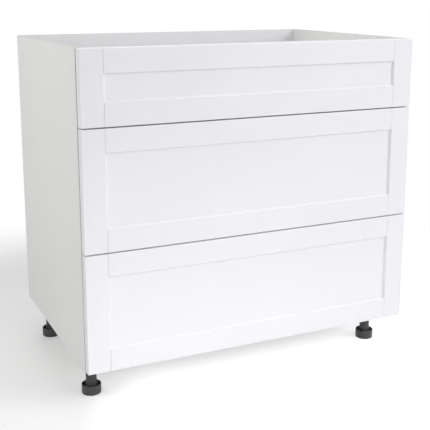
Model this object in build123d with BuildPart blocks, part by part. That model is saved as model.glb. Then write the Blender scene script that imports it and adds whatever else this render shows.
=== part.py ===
"""Base cabinet, 900 mm wide, with three framed drawer fronts on full-extension runners and four adjustable legs.

Frame: +Z up, +X to the right and -Y towards the viewer, seen from the front.
Origin: on the floor, at the centre of the width and of the overall depth. All sizes are in millimetres.
"""

import os

from build123d import *

# ---------------------------------------------------------------------------
# Driving sizes
# ---------------------------------------------------------------------------

# Carcass boards
carcass_width = 900.0
carcass_height = 768.0
carcass_depth = 580.0
board = 16.0
front_rail_height = 60.0
back_rail_height = 90.0
back_panel_thickness = 3.0
back_groove_depth = 8.0
back_groove_play = 0.2
edge_break = 0.6

# Drawer fronts
front_thickness = 22.0
deep_front_share = 145 / 384
side_reveal = 1.5
front_gap = 3.0
bottom_reveal = 5.0
top_reveal = 0.5
arris_radius = 1.6

# Frame members of a front: flat face, moulded bevel, quirk, and the groove that holds the panel
member_face = 55.0
bevel_width = 4.0
bevel_depth = 5.0
quirk = 1.0
groove_depth = 8.0
panel_thickness = 10.0
panel_entry = 7.0
groove_play = 0.2
joint_line_width = 1.2

# Bumpers between the carcass and the fronts
bumper_gap = 2.5
bumper_radius = 4.0
bumper_clearance = 0.3
bumper_inset = 20.0

# Cam locks, cam bolts and dowels
cam_radius = 7.5
cam_height = 12.5
cam_offset = 34.0
bolt_shank_radius = 3.5
bolt_bore_radius = 4.0
bolt_thread_radius = 2.5
bolt_thread_reach = 11.0
bolt_head_radius = 3.3
bolt_head_length = 5.0
dowel_radius = 4.0
dowel_in_board = 19.0
dowel_in_side = 11.0
fastener_play = 0.1
front_cam_inset = 40.0
front_dowel_inset = 20.0
back_cam_inset = 50.0
back_dowel_inset = 28.0
rail_cam_height = 20.0
rail_dowel_pitch = 24.0

# Pan-head screw, used for runners, leg sockets and drawer boxes
screw_length = 13.0
screw_radius = 1.75
screw_head_radius = 3.6
screw_head_height = 2.0
screw_flat_radius = 2.2
screw_dome_radius = 2.4
screw_tip = 3.0
recess_width = 1.1
recess_depth = 1.2

# Legs
leg_height = 95.0
leg_side_inset = 40.0
leg_front_inset = 88.0
leg_back_inset = 92.0
socket_flange_radius = 31.0
socket_flange_thickness = 4.0
socket_sleeve_radius = 17.0
socket_sleeve_depth = 26.0
socket_plug_radius = 5.0
socket_plug_height = 10.0
socket_screws = 4
socket_screw_radius = 24.0
socket_screw_start = 45.0
stem_radius = 13.5
stem_bottom = 28.0
stem_flute_radius = 0.8
stem_flutes = 16
stem_play = 0.2
foot_radius = 24.5
foot_height = 24.0
foot_wall = 2.4
foot_floor = 5.0
foot_round = 2.5
hub_radius = 18.0
hub_step = 17.0
hub_top_radius = 14.6
spindle_radius = 7.0
spindle_top = 62.0
spindle_play = 0.3
foot_clearance = 0.3

# Runners: sheet steel sections, one inside the other
steel = 1.2
running_gap = 0.3
runner_length = 500.0
runner_setback = 2.0
runner_drop = 26.0
channel_width = 22.0
channel_flange = 34.0
channel_lip = 8.0
telescope_length = 460.0
telescope_height = 8.5
drawer_runner_height = 10.2
runner_screw_height = 24.0
runner_screw_offsets = (37.0, 261.0, 453.0)

# Drawer boxes
upper_side_clearance = 7.8
deep_side_drop = 51.8
side_offset = 5.0
side_width = 13.0
side_wall = 1.0
side_round = 3.0
box_flange = 14.0
box_play = 0.2
box_back_drop = 4.0
plate_thickness = 1.5
plate_reach = 30.0
plug_length = 40.0
plate_screw_inset = 8.5
bottom_screw_inset = 40.0

# ---------------------------------------------------------------------------
# Planes and lines worked out from the driving sizes
# ---------------------------------------------------------------------------

overall_depth = carcass_depth + bumper_gap + front_thickness
face_y = -overall_depth / 2
front_back_y = face_y + front_thickness
carcass_front_y = front_back_y + bumper_gap
carcass_back_y = carcass_front_y + carcass_depth
carcass_mid_y = (carcass_front_y + carcass_back_y) / 2
carcass_bottom_z = leg_height
carcass_top_z = leg_height + carcass_height
floor_z = carcass_bottom_z + board
half_width = carcass_width / 2
inner_half = half_width - board
panel_rear_y = carcass_back_y - board
panel_front_y = panel_rear_y - back_panel_thickness

member_width = member_face + bevel_width
recess = bevel_depth + quirk
front_half = half_width - side_reveal
deep_front_height = deep_front_share * carcass_height
upper_front_height = carcass_height - bottom_reveal - top_reveal - 2 * front_gap - 2 * deep_front_height

runner_front_y = carcass_front_y + runner_setback
box_front_y = front_back_y + plate_thickness + box_play
box_rear_y = box_front_y + runner_length - plate_thickness
telescope_low = steel + running_gap
slide_low = telescope_low + steel + running_gap
box_base = slide_low + drawer_runner_height
box_floor_top = box_base + side_wall + board
deep_side_height = deep_front_height - runner_drop - box_base - deep_side_drop
upper_side_height = (
    upper_front_height + top_reveal - front_rail_height - upper_side_clearance - runner_drop - box_base
)

# Sides by the sign of their x, the half steps of a pair, and each drawer's (bottom of front, front, box side)
HANDS = {"left": -1, "right": 1}
PAIR = (-0.5, 0.5)
DRAWERS = {
    "lower": (carcass_bottom_z + bottom_reveal, deep_front_height, deep_side_height),
    "middle": (
        carcass_bottom_z + bottom_reveal + deep_front_height + front_gap,
        deep_front_height,
        deep_side_height,
    ),
    "upper": (carcass_top_z - top_reveal - upper_front_height, upper_front_height, upper_side_height),
}
LEGS = {
    f"{place}_{hand}": (side * (half_width - leg_side_inset), leg_y)
    for place, leg_y in (
        ("front", carcass_front_y + leg_front_inset),
        ("back", carcass_back_y - leg_back_inset),
    )
    for hand, side in HANDS.items()
}

os.makedirs("parts", exist_ok=True)


def keep(piece, name):
    """Label a finished piece and write it under its own name."""
    piece.part.label = name
    export_step(piece.part, f"parts/{name}.step")


# ---------------------------------------------------------------------------
# Fasteners, each drawn once about its own seat
# ---------------------------------------------------------------------------

# Screw: the seat is at the origin, the head above it and the shank below it.
with BuildPart() as screw:
    with BuildSketch(Plane.XZ):
        with BuildLine():
            Polyline(
                (screw_flat_radius, screw_head_height),
                (0, screw_head_height),
                (0, -screw_length),
                (screw_radius, screw_tip - screw_length),
                (screw_radius, 0),
                (screw_head_radius, 0),
            )
            RadiusArc(
                (screw_head_radius, 0),
                (screw_flat_radius, screw_head_height),
                -screw_dome_radius,
            )
        make_face()
    revolve(axis=Axis.Z)
    with BuildSketch(Plane.XY.offset(screw_head_height)):
        Rectangle(screw_head_radius, recess_width)
        Rectangle(recess_width, screw_head_radius)
    extrude(amount=-recess_depth, mode=Mode.SUBTRACT)

# Pilot hole for that screw, from its seat downwards.
with BuildPart() as pilot:
    with BuildSketch():
        Circle(screw_radius + fastener_play)
    extrude(amount=-screw_length - fastener_play)

# Board joint: local X runs from the cam to the side panel, local Z out of the cam's bore.
bolt_line = Plane(origin=(0, 0, -board / 2), x_dir=(0, 1, 0), z_dir=(1, 0, 0))

with BuildPart() as cam:
    with BuildSketch():
        Circle(cam_radius - fastener_play)
    extrude(amount=-cam_height + fastener_play)
    with BuildSketch(bolt_line):
        Circle(bolt_bore_radius)
    extrude(amount=cam_radius, mode=Mode.SUBTRACT)
    with BuildSketch():
        Rectangle(cam_radius, recess_width)
        Rectangle(recess_width, cam_radius)
    extrude(amount=-recess_depth, mode=Mode.SUBTRACT)

with BuildPart() as bolt:
    with BuildSketch(bolt_line.offset(fastener_play)):
        Circle(bolt_head_radius)
    extrude(amount=bolt_head_length)
    with BuildSketch(bolt_line.offset(bolt_head_length)):
        Circle(bolt_shank_radius)
    extrude(amount=cam_offset - bolt_head_length)
    with BuildSketch(bolt_line.offset(cam_offset)):
        Circle(bolt_thread_radius - fastener_play)
    extrude(amount=bolt_thread_reach)

with BuildPart() as cam_bores:
    with BuildSketch():
        Circle(cam_radius)
    extrude(amount=-cam_height)
    with BuildSketch(bolt_line):
        Circle(bolt_bore_radius)
    extrude(amount=cam_offset)
    with BuildSketch(bolt_line.offset(cam_offset)):
        Circle(bolt_thread_radius)
    extrude(amount=bolt_thread_reach + fastener_play)

with BuildPart() as dowel:
    with BuildSketch(bolt_line.offset(cam_offset - dowel_in_board)):
        Circle(dowel_radius - fastener_play)
    extrude(amount=dowel_in_board + dowel_in_side)
    chamfer(dowel.edges().filter_by(GeomType.CIRCLE), edge_break)

with BuildPart() as dowel_bore:
    with BuildSketch(bolt_line.offset(cam_offset - dowel_in_board - fastener_play)):
        Circle(dowel_radius)
    extrude(amount=dowel_in_board + dowel_in_side + 2 * fastener_play)

# ---------------------------------------------------------------------------
# Seats of the board joints
# ---------------------------------------------------------------------------

cam_x = inner_half - cam_offset
rail_cam_z = {
    "front": carcass_top_z - front_rail_height + rail_cam_height,
    "back": carcass_top_z - back_rail_height + rail_cam_height,
}
front_rail_rear_y = carcass_front_y + board


def bottom_seat(side, y):
    """Seat of a joint in the bottom panel, its cam opening downwards."""
    return Plane(origin=(side * cam_x, y, carcass_bottom_z), x_dir=(side, 0, 0), z_dir=(0, 0, -1))


def rail_seat(side, y, z):
    """Seat of a joint in an upright rail, its cam opening to the rear."""
    return Plane(origin=(side * cam_x, y, z), x_dir=(side, 0, 0), z_dir=(0, 1, 0))


cam_seats = []
dowel_seats = []
for side in HANDS.values():
    cam_seats.append(bottom_seat(side, carcass_front_y + front_cam_inset))
    cam_seats.append(bottom_seat(side, carcass_back_y - back_cam_inset))
    cam_seats.append(rail_seat(side, front_rail_rear_y, rail_cam_z["front"]))
    cam_seats.append(rail_seat(side, carcass_back_y, rail_cam_z["back"]))
    dowel_seats.append(bottom_seat(side, carcass_front_y + front_dowel_inset))
    dowel_seats.append(bottom_seat(side, carcass_back_y - back_dowel_inset))
    dowel_seats.append(rail_seat(side, front_rail_rear_y, rail_cam_z["front"] + rail_dowel_pitch))
    dowel_seats.append(rail_seat(side, carcass_back_y, rail_cam_z["back"] + rail_dowel_pitch))

# Seats of the screws that go into the carcass
runner_seats = []
for side in HANDS.values():
    for front_bottom_z, _, _ in DRAWERS.values():
        for offset_y in runner_screw_offsets:
            runner_seats.append(
                Plane(
                    origin=(
                        side * (inner_half - steel),
                        runner_front_y + offset_y,
                        front_bottom_z + runner_drop + runner_screw_height,
                    ),
                    z_dir=(-side, 0, 0),
                )
            )

socket_seats = []
for leg_x, leg_y in LEGS.values():
    with BuildPart(mode=Mode.PRIVATE):
        with Locations(Plane(origin=(leg_x, leg_y, carcass_bottom_z - socket_flange_thickness), z_dir=(0, 0, -1))):
            with PolarLocations(socket_screw_radius, socket_screws, start_angle=socket_screw_start) as ring:
                socket_seats.extend(Plane(place) for place in ring.locations)

# ---------------------------------------------------------------------------
# Carcass
# ---------------------------------------------------------------------------

for hand, side in HANDS.items():
    with BuildPart() as side_panel:
        with BuildSketch(Plane.XY.offset(carcass_bottom_z)):
            with Locations((side * (half_width - board / 2), carcass_mid_y)):
                Rectangle(board, carcass_depth)
        extrude(amount=carcass_height)
        chamfer(side_panel.edges().filter_by(Axis.Z).group_by(Axis.Y)[0], edge_break)
        with BuildSketch(Plane.XY.offset(carcass_bottom_z)):
            with Locations((side * (inner_half + back_groove_depth / 2), (panel_front_y + panel_rear_y) / 2)):
                Rectangle(back_groove_depth, back_panel_thickness + 2 * back_groove_play)
        extrude(amount=carcass_height, mode=Mode.SUBTRACT)
        with Locations(*cam_seats):
            add(cam_bores.part, mode=Mode.SUBTRACT)
        with Locations(*dowel_seats):
            add(dowel_bore.part, mode=Mode.SUBTRACT)
        with Locations(*runner_seats):
            add(pilot.part, mode=Mode.SUBTRACT)
    keep(side_panel, f"side_panel_{hand}")

with BuildPart() as bottom_panel:
    with BuildSketch(Plane.XY.offset(carcass_bottom_z)):
        with Locations((0, carcass_mid_y)):
            Rectangle(2 * inner_half, carcass_depth)
    extrude(amount=board)
    chamfer(bottom_panel.edges().filter_by(Axis.X).group_by(Axis.Y)[0], edge_break)
    with BuildSketch(Plane.XY.offset(floor_z)):
        with Locations((0, (panel_front_y + panel_rear_y) / 2)):
            Rectangle(2 * inner_half, back_panel_thickness + 2 * back_groove_play)
    extrude(amount=-back_groove_depth, mode=Mode.SUBTRACT)
    with Locations(*cam_seats):
        add(cam_bores.part, mode=Mode.SUBTRACT)
    with Locations(*dowel_seats):
        add(dowel_bore.part, mode=Mode.SUBTRACT)
    with Locations(*socket_seats):
        add(pilot.part, mode=Mode.SUBTRACT)
    with BuildSketch(Plane.XY.offset(carcass_bottom_z)):
        with Locations(*LEGS.values()):
            Circle(socket_plug_radius + fastener_play)
    extrude(amount=socket_plug_height + fastener_play, mode=Mode.SUBTRACT)
keep(bottom_panel, "bottom_panel")

with BuildPart() as back_panel:
    with BuildSketch(Plane.XZ.offset(-panel_front_y)):
        panel_low_z = floor_z - back_groove_depth + back_groove_play
        with Locations((0, (panel_low_z + carcass_top_z) / 2)):
            Rectangle(2 * (inner_half + back_groove_depth - back_groove_play), carcass_top_z - panel_low_z)
    extrude(amount=-back_panel_thickness)
keep(back_panel, "back_panel")

for rail_name, rail_y, rail_height in (
    ("front_rail", carcass_front_y, front_rail_height),
    ("back_rail", carcass_back_y - board, back_rail_height),
):
    with BuildPart() as rail:
        with BuildSketch(Plane.XZ.offset(-rail_y)):
            with Locations((0, carcass_top_z - rail_height / 2)):
                Rectangle(2 * inner_half, rail_height)
        extrude(amount=-board)
        chamfer(rail.edges().filter_by(Axis.X), edge_break)
        with Locations(*cam_seats):
            add(cam_bores.part, mode=Mode.SUBTRACT)
        with Locations(*dowel_seats):
            add(dowel_bore.part, mode=Mode.SUBTRACT)
    keep(rail, rail_name)

with BuildPart() as cam_locks:
    with Locations(*cam_seats):
        add(cam.part)
keep(cam_locks, "cam_locks")

with BuildPart() as cam_bolts:
    with Locations(*cam_seats):
        add(bolt.part)
keep(cam_bolts, "cam_bolts")

with BuildPart() as dowels:
    with Locations(*dowel_seats):
        add(dowel.part)
keep(dowels, "dowels")

with BuildPart() as panel_screws:
    with Locations(*runner_seats, *socket_seats):
        add(screw.part)
keep(panel_screws, "panel_screws")

with BuildPart() as bumpers:
    for front_bottom_z, front_height, _ in DRAWERS.values():
        for bumper_z in (front_bottom_z + bumper_inset, front_bottom_z + front_height - bumper_inset):
            for side in HANDS.values():
                with BuildSketch(Plane.XZ.offset(-carcass_front_y)):
                    with Locations((side * (half_width - board / 2), bumper_z)):
                        Circle(bumper_radius)
                extrude(amount=bumper_gap - bumper_clearance)
    chamfer(bumpers.edges().filter_by(GeomType.CIRCLE).group_by(Axis.Y)[0], edge_break)
keep(bumpers, "bumpers")

# ---------------------------------------------------------------------------
# Legs
# ---------------------------------------------------------------------------

flange_bottom_z = carcass_bottom_z - socket_flange_thickness
sleeve_bottom_z = flange_bottom_z - socket_sleeve_depth

for place, (leg_x, leg_y) in LEGS.items():
    axis_plane = Plane(origin=(leg_x, leg_y, 0), z_dir=(0, -1, 0), x_dir=(1, 0, 0))
    leg_axis = Axis((leg_x, leg_y, 0), (0, 0, 1))

    with BuildPart() as leg_socket:
        with BuildSketch(Plane(origin=(leg_x, leg_y, flange_bottom_z))):
            Circle(socket_flange_radius)
        extrude(amount=socket_flange_thickness)
        chamfer(leg_socket.edges().group_by(Axis.Z)[0], edge_break)
        with BuildSketch(Plane(origin=(leg_x, leg_y, flange_bottom_z))):
            Circle(socket_sleeve_radius)
            Circle(stem_radius + stem_play, mode=Mode.SUBTRACT)
        extrude(amount=-socket_sleeve_depth)
        with BuildSketch(Plane(origin=(leg_x, leg_y, carcass_bottom_z))):
            Circle(socket_plug_radius)
        extrude(amount=socket_plug_height)
        with Locations(*socket_seats):
            add(pilot.part, mode=Mode.SUBTRACT)
    keep(leg_socket, f"leg_socket_{place}")

    with BuildPart() as leg_stem:
        with BuildSketch(Plane(origin=(leg_x, leg_y, stem_bottom))):
            Circle(stem_radius)
            Circle(spindle_radius + spindle_play, mode=Mode.SUBTRACT)
            with PolarLocations(stem_radius, stem_flutes):
                Circle(stem_flute_radius, mode=Mode.SUBTRACT)
        extrude(amount=flange_bottom_z - stem_play - stem_bottom)
    keep(leg_stem, f"leg_stem_{place}")

    hub_top_z = stem_bottom - foot_clearance
    with BuildPart() as leg_foot:
        with BuildSketch(axis_plane):
            with BuildLine():
                Polyline(
                    (0, 0),
                    (foot_radius - foot_round, 0),
                    (foot_radius, foot_round),
                    (foot_radius, foot_height),
                    (foot_radius - foot_wall, foot_height),
                    (foot_radius - foot_wall, foot_floor),
                    (hub_radius, foot_floor),
                    (hub_radius, hub_step),
                    (hub_top_radius, hub_step + hub_radius - hub_top_radius),
                    (hub_top_radius, hub_top_z),
                    (spindle_radius, hub_top_z),
                    (spindle_radius, spindle_top),
                    (0, spindle_top),
                    close=True,
                )
            make_face()
        revolve(axis=leg_axis)
        fillet(leg_foot.edges().filter_by(GeomType.CIRCLE).group_by(Axis.Z)[1], foot_round / 2)
    keep(leg_foot, f"leg_foot_{place}")

# ---------------------------------------------------------------------------
# Runners and drawers
# ---------------------------------------------------------------------------


def across(side, base_z, points):
    """Turn points given inwards from a side panel and up from a runner's base into front-view points."""
    return [(side * (inner_half - inward), base_z + up) for inward, up in points]


channel_section = (
    (0, 0),
    (channel_width, 0),
    (channel_width, channel_lip),
    (channel_width - steel, channel_lip),
    (channel_width - steel, steel),
    (steel, steel),
    (steel, channel_flange),
    (0, channel_flange),
)

telescope_left = steel + running_gap
telescope_right = channel_width - steel - running_gap
telescope_top = telescope_low + telescope_height
telescope_section = (
    (telescope_left, telescope_low),
    (telescope_right, telescope_low),
    (telescope_right, telescope_top),
    (telescope_right - steel, telescope_top),
    (telescope_right - steel, telescope_low + steel),
    (telescope_left + steel, telescope_low + steel),
    (telescope_left + steel, telescope_top),
    (telescope_left, telescope_top),
)

slide_left = telescope_left + steel + running_gap
slide_right = telescope_right - steel - running_gap
slide_section = (
    (slide_left, slide_low),
    (slide_left + steel, slide_low),
    (slide_left + steel, box_base - steel),
    (slide_right - steel, box_base - steel),
    (slide_right - steel, slide_low),
    (slide_right, slide_low),
    (slide_right, box_base),
    (slide_left, box_base),
)

side_inner = side_offset + side_width
box_half = inner_half - side_inner - box_play
screw_line = side_inner + box_flange / 2

for drawer, (front_bottom_z, front_height, side_height) in DRAWERS.items():
    front_top_z = front_bottom_z + front_height
    base_z = front_bottom_z + runner_drop
    side_top_z = base_z + box_base + side_height
    back_top_z = side_top_z - box_back_drop

    # Runner members, each a left and right pair: cabinet, telescope and drawer member
    for name, section, length in (
        ("cabinet_runners", channel_section, runner_length),
        ("telescope_runners", telescope_section, telescope_length),
        ("drawer_runners", slide_section, runner_length - runner_setback),
    ):
        with BuildPart() as runners:
            for side in HANDS.values():
                with BuildSketch(Plane.XZ.offset(-runner_front_y)):
                    Polygon(*across(side, base_z, section), align=None)
                extrude(amount=-length)
            if name == "cabinet_runners":
                with Locations(*runner_seats):
                    add(pilot.part, mode=Mode.SUBTRACT)
        keep(runners, f"{drawer}_{name}")

    # Seats of the screws in the drawer
    plate_rear_y = front_back_y + plate_thickness
    front_seats = []
    back_seats = []
    bottom_seats = []
    for side in HANDS.values():
        screw_x = side * (inner_half - screw_line)
        for screw_z in (base_z + box_floor_top + plate_screw_inset, back_top_z - plate_screw_inset):
            front_seats.append(Plane(origin=(screw_x, plate_rear_y, screw_z), z_dir=(0, 1, 0)))
            back_seats.append(Plane(origin=(screw_x, box_rear_y + side_wall, screw_z), z_dir=(0, 1, 0)))
        for screw_y in (
            box_front_y + bottom_screw_inset,
            (box_front_y + box_rear_y) / 2,
            box_rear_y - bottom_screw_inset,
        ):
            bottom_seats.append(Plane(origin=(screw_x, screw_y, base_z + box_base), z_dir=(0, 0, -1)))

    # Outline of the finished front, with its outer arrises rounded
    with BuildPart() as envelope:
        with BuildSketch(Plane.XZ.offset(-front_back_y)):
            with Locations((0, (front_bottom_z + front_top_z) / 2)):
                Rectangle(2 * front_half, front_height)
        extrude(amount=front_thickness)
        fillet(envelope.faces().sort_by(Axis.Y)[0].edges(), arris_radius)

    # Section of a frame member: distance in from the outer edge, depth behind the face
    member_section = (
        (0, 0),
        (member_face, 0),
        (member_width, bevel_depth),
        (member_width, recess),
        (member_width - groove_depth, recess),
        (member_width - groove_depth, recess + panel_thickness + groove_play),
        (member_width, recess + panel_thickness + groove_play),
        (member_width, front_thickness),
        (0, front_thickness),
    )

    with BuildPart() as stiles:
        for side in HANDS.values():
            with BuildSketch(Plane.XY.offset(front_bottom_z)):
                Polygon(
                    *[(side * (front_half - inward), face_y + depth) for inward, depth in member_section],
                    align=None,
                )
            extrude(amount=front_height)
        add(envelope.part, mode=Mode.INTERSECT)
        with Locations(*front_seats):
            add(pilot.part, mode=Mode.SUBTRACT)
    keep(stiles, f"{drawer}_front_stiles")

    # Rails: their ends are scribed over the stiles' bevel and tongued into the stiles' groove
    with BuildPart() as rails:
        for edge_z, inwards in ((front_bottom_z, 1), (front_top_z, -1)):
            with BuildSketch(Plane.YZ):
                Polygon(
                    *[(face_y + depth, edge_z + inwards * inward) for inward, depth in member_section],
                    align=None,
                )
            extrude(amount=front_half - member_width + groove_depth - groove_play, both=True)
        add(stiles.part, mode=Mode.SUBTRACT)
        joint_depth = joint_line_width / 2 * bevel_depth / bevel_width
        for side in HANDS.values():
            joint_x = side * (front_half - member_face)
            with BuildSketch(Plane.XY.offset(front_bottom_z)):
                Polygon(
                    (joint_x, face_y),
                    (joint_x - side * joint_line_width, face_y),
                    (joint_x - side * joint_line_width / 2, face_y + joint_depth),
                    align=None,
                )
            extrude(amount=front_height, mode=Mode.SUBTRACT)
        add(envelope.part, mode=Mode.INTERSECT)
    keep(rails, f"{drawer}_front_rails")

    panel_margin = member_width - panel_entry
    with BuildPart() as front_panel:
        with BuildSketch(Plane.XZ.offset(-face_y - recess)):
            with Locations((0, (front_bottom_z + front_top_z) / 2)):
                Rectangle(2 * (front_half - panel_margin), front_height - 2 * panel_margin)
        extrude(amount=-panel_thickness)
    keep(front_panel, f"{drawer}_front_panel")

    for hand, side in HANDS.items():
        side_mid_x = side * (inner_half - side_offset - side_width / 2)
        with BuildPart() as box_side:
            with BuildSketch(Plane.XZ.offset(-box_front_y)):
                with Locations((side_mid_x, base_z + box_base + side_height / 2)):
                    outer = Rectangle(side_width, side_height)
                fillet(outer.vertices().group_by(Axis.Y)[-1], side_round)
                offset(amount=-side_wall, mode=Mode.SUBTRACT)
                Polygon(
                    *across(
                        side,
                        base_z + box_base,
                        (
                            (side_inner - side_wall, 0),
                            (side_inner + box_flange, 0),
                            (side_inner + box_flange, side_wall),
                            (side_inner - side_wall, side_wall),
                        ),
                    ),
                    align=None,
                )
            extrude(amount=box_front_y - box_rear_y)
            with BuildSketch(Plane.XZ.offset(-box_rear_y)):
                Polygon(
                    *across(
                        side,
                        0,
                        (
                            (side_inner - side_wall, base_z + box_floor_top),
                            (side_inner + box_flange, base_z + box_floor_top),
                            (side_inner + box_flange, back_top_z),
                            (side_inner - side_wall, back_top_z),
                        ),
                    ),
                    align=None,
                )
            extrude(amount=-side_wall)
            with Locations(*back_seats, *bottom_seats):
                add(pilot.part, mode=Mode.SUBTRACT)
        keep(box_side, f"{drawer}_box_side_{hand}")

    with BuildPart() as box_bottom:
        with BuildSketch(Plane.XY.offset(base_z + box_base + side_wall)):
            with Locations((0, (box_front_y + box_rear_y) / 2)):
                Rectangle(2 * box_half, box_rear_y - box_front_y)
        extrude(amount=board)
        with Locations(*bottom_seats):
            add(pilot.part, mode=Mode.SUBTRACT)
    keep(box_bottom, f"{drawer}_box_bottom")

    with BuildPart() as box_back:
        with BuildSketch(Plane.XY.offset(base_z + box_floor_top)):
            with Locations((0, box_rear_y - board / 2)):
                Rectangle(2 * box_half, board)
        extrude(amount=back_top_z - base_z - box_floor_top)
        chamfer(box_back.edges().filter_by(Axis.X).group_by(Axis.Z)[-1], edge_break)
        with Locations(*back_seats):
            add(pilot.part, mode=Mode.SUBTRACT)
    keep(box_back, f"{drawer}_box_back")

    with BuildPart() as front_brackets:
        for side in HANDS.values():
            plate_low_z = base_z + box_base + side_wall
            with BuildSketch(Plane.XZ.offset(-front_back_y)):
                Polygon(
                    *across(
                        side,
                        0,
                        (
                            (side_offset, plate_low_z),
                            (side_offset + plate_reach, plate_low_z),
                            (side_offset + plate_reach, back_top_z),
                            (side_offset, back_top_z),
                        ),
                    ),
                    align=None,
                )
            extrude(amount=-plate_thickness)
            plug_left = side_offset + side_wall + box_play
            with BuildSketch(Plane.XZ.offset(-front_back_y)):
                Polygon(
                    *across(
                        side,
                        0,
                        (
                            (plug_left, plate_low_z + box_play),
                            (plug_left + plate_thickness, plate_low_z + box_play),
                            (plug_left + plate_thickness, back_top_z - side_round),
                            (plug_left, back_top_z - side_round),
                        ),
                    ),
                    align=None,
                )
            extrude(amount=-plug_length)
        with Locations(*front_seats):
            add(pilot.part, mode=Mode.SUBTRACT)
    keep(front_brackets, f"{drawer}_front_brackets")

    with BuildPart() as drawer_screws:
        with Locations(*front_seats, *back_seats, *bottom_seats):
            add(screw.part)
    keep(drawer_screws, f"{drawer}_drawer_screws")
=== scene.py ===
"""Kitchen base cabinet with three framed drawer fronts: finishes, fine pieces, camera and light.

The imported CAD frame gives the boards, fronts, drawer boxes, runners and legs. This script keeps their shapes
and dresses each one in a procedural finish. Finer meshes of the same size and place stand for the screws, the
bumpers and the levelling feet. All lengths are in metres, in the frame of the CAD model: +Z up, fronts
towards -Y, floor at zero.
"""

from __future__ import annotations

import logging
import math
from collections.abc import Iterable, Sequence
from dataclasses import dataclass, field, replace
from enum import Enum
from functools import cached_property, partial, reduce
from typing import Any, ClassVar

import bmesh
import bpy
from mathutils import Euler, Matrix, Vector


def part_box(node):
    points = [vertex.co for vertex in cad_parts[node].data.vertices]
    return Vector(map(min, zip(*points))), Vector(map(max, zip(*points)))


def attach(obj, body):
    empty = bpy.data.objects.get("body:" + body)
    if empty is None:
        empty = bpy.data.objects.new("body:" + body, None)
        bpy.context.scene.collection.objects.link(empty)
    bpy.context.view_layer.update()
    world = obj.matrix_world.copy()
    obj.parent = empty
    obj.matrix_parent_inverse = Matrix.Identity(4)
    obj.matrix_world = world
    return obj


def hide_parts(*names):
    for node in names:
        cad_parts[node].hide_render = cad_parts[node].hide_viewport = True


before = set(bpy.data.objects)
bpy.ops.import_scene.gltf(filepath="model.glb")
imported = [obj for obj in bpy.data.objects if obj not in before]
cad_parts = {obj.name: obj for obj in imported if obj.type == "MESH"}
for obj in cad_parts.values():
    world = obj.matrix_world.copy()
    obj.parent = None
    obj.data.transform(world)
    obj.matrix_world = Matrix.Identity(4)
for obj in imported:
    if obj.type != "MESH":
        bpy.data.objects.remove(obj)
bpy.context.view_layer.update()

log = logging.getLogger("base_cabinet")

Colour = tuple[float, float, float]
Triple = tuple[float, float, float]
Pair = tuple[float, float]
Profile = Sequence[Pair]
Socket = bpy.types.NodeSocket
Outputs = bpy.types.NodeOutputs

SIDES = {"left": -1, "right": 1}
WHITE: Colour = (1.0, 1.0, 1.0)
EVEN: Triple = (1.0, 1.0, 1.0)
UP: Triple = (0.0, 0.0, 1.0)
DOWN: Triple = (0.0, 0.0, -1.0)
FORWARDS: Triple = (0.0, -1.0, 0.0)
BACKWARDS: Triple = (0.0, 1.0, 0.0)


class Level(Enum):
    """The three drawers, by where they run."""

    LOWER = "lower"
    MIDDLE = "middle"
    UPPER = "upper"


class Place(Enum):
    """The four legs, by where they stand."""

    FRONT_LEFT = "front_left"
    FRONT_RIGHT = "front_right"
    BACK_LEFT = "back_left"
    BACK_RIGHT = "back_right"


class Thin(Enum):
    """The axis across a board's thickness."""

    X = (1.0, 0.0, 0.0)
    Y = (0.0, 1.0, 0.0)
    Z = (0.0, 0.0, 1.0)


# Node trees


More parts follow.
